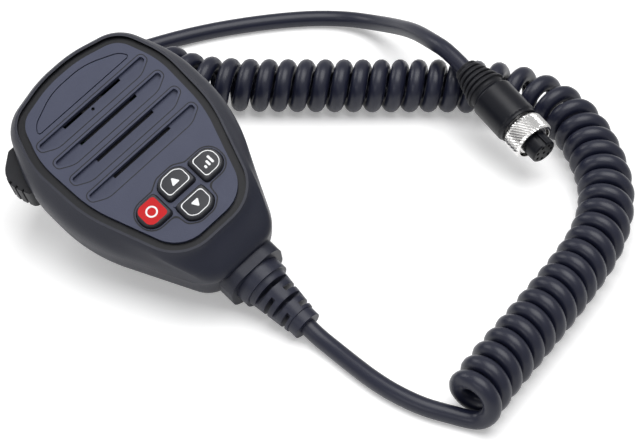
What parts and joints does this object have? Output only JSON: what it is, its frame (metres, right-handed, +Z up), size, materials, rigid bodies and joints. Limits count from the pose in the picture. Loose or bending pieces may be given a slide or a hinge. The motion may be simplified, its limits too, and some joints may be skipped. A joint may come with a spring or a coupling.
{
  "type": "marine radio hand microphone",
  "caption": "Fist microphone for a marine radio: pear-shaped case with slotted speaker, channel keys, side talk bar, curly cord and round screw-on plug.",
  "frame": {"origin": "on the ground, under the middle of the case with its strain relief", "axes": "+Z up; +Y the way the microphone's top points over the ground, +X to its right side seen from the face"},
  "size_m": [0.1702, 0.2099, 0.0569],
  "materials": {
    "casing": "fine matte",
    "plate": "fine matte",
    "seal": "matte",
    "key": "satin",
    "key_red": "satin",
    "spring_metal": "brushed",
    "board": "solder mask",
    "inner_plastic": "matte",
    "cloth": "woven",
    "steel": "brushed",
    "cone": "matte",
    "grip_rubber": "matte",
    "stud": "satin",
    "boot_rubber": "matte",
    "cord_jacket": "satin",
    "plug_plastic": "satin",
    "nickel": "nickel plated",
    "gold": "plated"
  },
  "bodies": {
    "housing": {"front_shell": "casing", "rear_shell": "casing", "name_plate": "plate", "housing_seal": "seal", "key_mat": "seal", "dome_switches": "spring_metal", "key_board": "board", "circuit_board": "board", "board_header": "inner_plastic", "speaker_cloth": "cloth", "speaker_gasket": "seal", "speaker_frame": "steel", "speaker_cone": "cone", "speaker_magnet": "steel", "mic_capsule": "steel", "capsule_boot": "seal", "ptt_pin": "steel", "ptt_switch": "inner_plastic", "hanger_stud": "stud", "hanger_screw": "steel", "shell_screws": "steel", "strain_relief": "boot_rubber", "cable_clamp": "steel", "cable_core": "cord_jacket", "cord_lead": "cord_jacket", "curly_cord": "cord_jacket", "cord_tail": "cord_jacket", "plug_strain_relief": "boot_rubber", "plug_body": "plug_plastic", "plug_barrel": "nickel", "plug_insert": "plug_plastic", "plug_contacts": "gold"},
    "key_up": {"key_up": "key"},
    "key_down": {"key_down": "key"},
    "key_power": {"key_power": "key"},
    "key_channel": {"key_channel": "key_red"},
    "ptt": {"ptt_button": "grip_rubber"},
    "nut_slide": {"nut_ring": "nickel"},
    "nut": {"coupling_nut": "nickel"}
  },
  "joints": [
    {"name": "key_up_press", "type": "slide", "parent": "housing", "child": "key_up", "axis": [0.3518, 0.2533, -0.9011], "range_m": [0, 0.0008], "stiffness_N_per_m": 1500, "springref_m": -0.0002},
    {"name": "key_down_press", "type": "slide", "parent": "housing", "child": "key_down", "axis": [0.3518, 0.2533, -0.9011], "range_m": [0, 0.0008], "stiffness_N_per_m": 1500, "springref_m": -0.0002},
    {"name": "key_power_press", "type": "slide", "parent": "housing", "child": "key_power", "axis": [0.3518, 0.2533, -0.9011], "range_m": [0, 0.0008], "stiffness_N_per_m": 1500, "springref_m": -0.0002},
    {"name": "key_channel_press", "type": "slide", "parent": "housing", "child": "key_channel", "axis": [0.3518, 0.2533, -0.9011], "range_m": [0, 0.0008], "stiffness_N_per_m": 1500, "springref_m": -0.0002},
    {"name": "ptt_press", "type": "hinge", "parent": "housing", "child": "ptt", "pos_m": [-0.02435, 0.03431, 0.02456], "axis": [0.3518, 0.2533, -0.9011], "range_deg": [0, 4], "stiffness_Nm_per_rad": 3, "springref_deg": -1.15},
    {"name": "nut_play", "type": "slide", "parent": "housing", "child": "nut_slide", "axis": [-0.1679, -0.9675, -0.1892], "range_m": [0, 0.0012]},
    {"name": "nut_turn", "type": "hinge", "parent": "nut_slide", "child": "nut", "pos_m": [0.10443, -0.05426, 0.01694], "axis": [-0.1679, -0.9675, -0.1892], "continuous": true}
  ]
}
